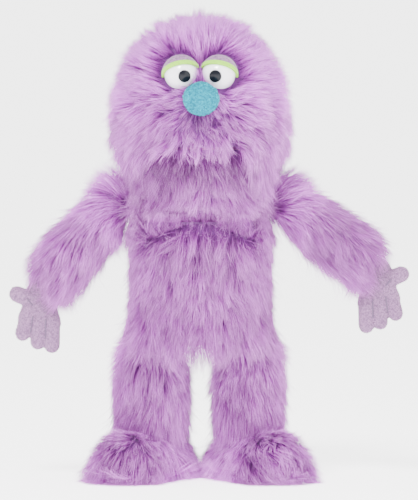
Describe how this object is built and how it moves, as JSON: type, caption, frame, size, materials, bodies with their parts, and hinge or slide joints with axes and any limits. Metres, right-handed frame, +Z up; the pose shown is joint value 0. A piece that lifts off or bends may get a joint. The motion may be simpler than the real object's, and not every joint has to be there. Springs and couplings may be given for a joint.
{
  "type": "moving mouth puppet",
  "caption": "Furry monster glove puppet with a hinged mouth, dome eyes, ball nose, loose arms with mitt hands, short legs and big feet.",
  "frame": {"origin": "centre of the outer box's base, on the floor between the feet", "axes": "+Z up, -Y where the face looks, +X the puppet's own left"},
  "size_m": [0.3018, 0.1463, 0.35],
  "materials": {
    "pile_fabric": "long-pile lilac fur fabric",
    "lining_fabric": "smooth lilac lining cloth",
    "fleece_pale": "pale grey-lilac fleece",
    "fleece_aqua": "turquoise fleece",
    "felt_lime": "lime-green felt",
    "felt_red": "dark red felt",
    "felt_pink": "pink felt",
    "filling": "white polyester fibre filling",
    "foam": "soft cream foam sheet",
    "eye_white": "glossy white plastic",
    "eye_black": "glossy black plastic",
    "washer_plastic": "plain moulded plastic",
    "board": "stiff flexible board"
  },
  "bodies": {
    "torso": {"torso_front_panel": "pile_fabric", "torso_back_panel": "pile_fabric", "torso_lining": "lining_fabric", "seat_panel": "pile_fabric", "hand_opening_hem": "lining_fabric", "shoulder_panel": "pile_fabric"},
    "neck": {"neck_cover": "pile_fabric", "neck_lining": "lining_fabric"},
    "head": {"face_panel": "pile_fabric", "head_back_panel": "pile_fabric", "head_padding": "foam", "eye_left": "eye_white", "eye_right": "eye_white", "pupil_left": "eye_black", "pupil_right": "eye_black", "eye_washer_left": "washer_plastic", "eye_washer_right": "washer_plastic", "eyelid_left": "fleece_pale", "eyelid_right": "fleece_pale", "lid_trim_left": "felt_lime", "lid_trim_right": "felt_lime", "nose_cover": "fleece_aqua", "nose_filling": "filling", "palate_board": "board", "palate_lining": "felt_red", "finger_pocket": "lining_fabric"},
    "jaw": {"jaw_panel": "pile_fabric", "jaw_padding": "foam", "jaw_board": "board", "jaw_lining": "felt_red", "tongue": "felt_pink", "thumb_pocket": "lining_fabric"},
    "arm_left": {"arm_cover_left": "pile_fabric", "arm_stuffing_left": "filling"},
    "hand_left": {"hand_front_left": "fleece_pale", "hand_back_left": "fleece_pale"},
    "leg_left": {"leg_cover_left": "pile_fabric", "leg_stuffing_left": "filling"},
    "foot_left": {"foot_cover_left": "pile_fabric", "foot_stuffing_left": "filling", "foot_sole_left": "lining_fabric"},
    "arm_right": {"arm_cover_right": "pile_fabric", "arm_stuffing_right": "filling"},
    "hand_right": {"hand_front_right": "fleece_pale", "hand_back_right": "fleece_pale"},
    "leg_right": {"leg_cover_right": "pile_fabric", "leg_stuffing_right": "filling"},
    "foot_right": {"foot_cover_right": "pile_fabric", "foot_stuffing_right": "filling", "foot_sole_right": "lining_fabric"}
  },
  "joints": [
    {"name": "head_turn", "type": "hinge", "parent": "torso", "child": "neck", "pos_m": [-0.00688, 0.01033, 0.222], "axis": [0, 0, 1], "range_deg": [-12, 12]},
    {"name": "head_nod", "type": "hinge", "parent": "neck", "child": "head", "pos_m": [-0.00688, 0.01033, 0.222], "axis": [-1, 0, 0], "range_deg": [-8, 10]},
    {"name": "jaw_open", "type": "hinge", "parent": "head", "child": "jaw", "pos_m": [-0.00688, 0.02133, 0.252], "axis": [1, 0, 0], "range_deg": [0, 22]},
    {"name": "shoulder_raise_left", "type": "hinge", "parent": "torso", "child": "arm_left", "pos_m": [0.05512, 0.02133, 0.211], "axis": [0, -1, 0], "range_deg": [-13, 46]},
    {"name": "wrist_swing_left", "type": "hinge", "parent": "arm_left", "child": "hand_left", "pos_m": [0.12793, 0.02133, 0.1581], "axis": [0, -1, 0], "range_deg": [-10, 60]},
    {"name": "hip_swing_left", "type": "hinge", "parent": "torso", "child": "leg_left", "pos_m": [0.02962, 0.01632, 0.086], "axis": [-1, 0, 0], "range_deg": [-20, 75]},
    {"name": "ankle_bend_left", "type": "hinge", "parent": "leg_left", "child": "foot_left", "pos_m": [0.02962, 0.01632, 0.042], "axis": [1, 0, 0], "range_deg": [-20, 20]},
    {"name": "shoulder_raise_right", "type": "hinge", "parent": "torso", "child": "arm_right", "pos_m": [-0.06888, 0.02133, 0.211], "axis": [0, 1, 0], "range_deg": [0, 59]},
    {"name": "wrist_swing_right", "type": "hinge", "parent": "arm_right", "child": "hand_right", "pos_m": [-0.12793, 0.02133, 0.14308], "axis": [0, 1, 0], "range_deg": [-10, 60]},
    {"name": "hip_swing_right", "type": "hinge", "parent": "torso", "child": "leg_right", "pos_m": [-0.04338, 0.01632, 0.086], "axis": [-1, 0, 0], "range_deg": [-20, 75]},
    {"name": "ankle_bend_right", "type": "hinge", "parent": "leg_right", "child": "foot_right", "pos_m": [-0.04338, 0.01632, 0.042], "axis": [1, 0, 0], "range_deg": [-20, 20]}
  ]
}
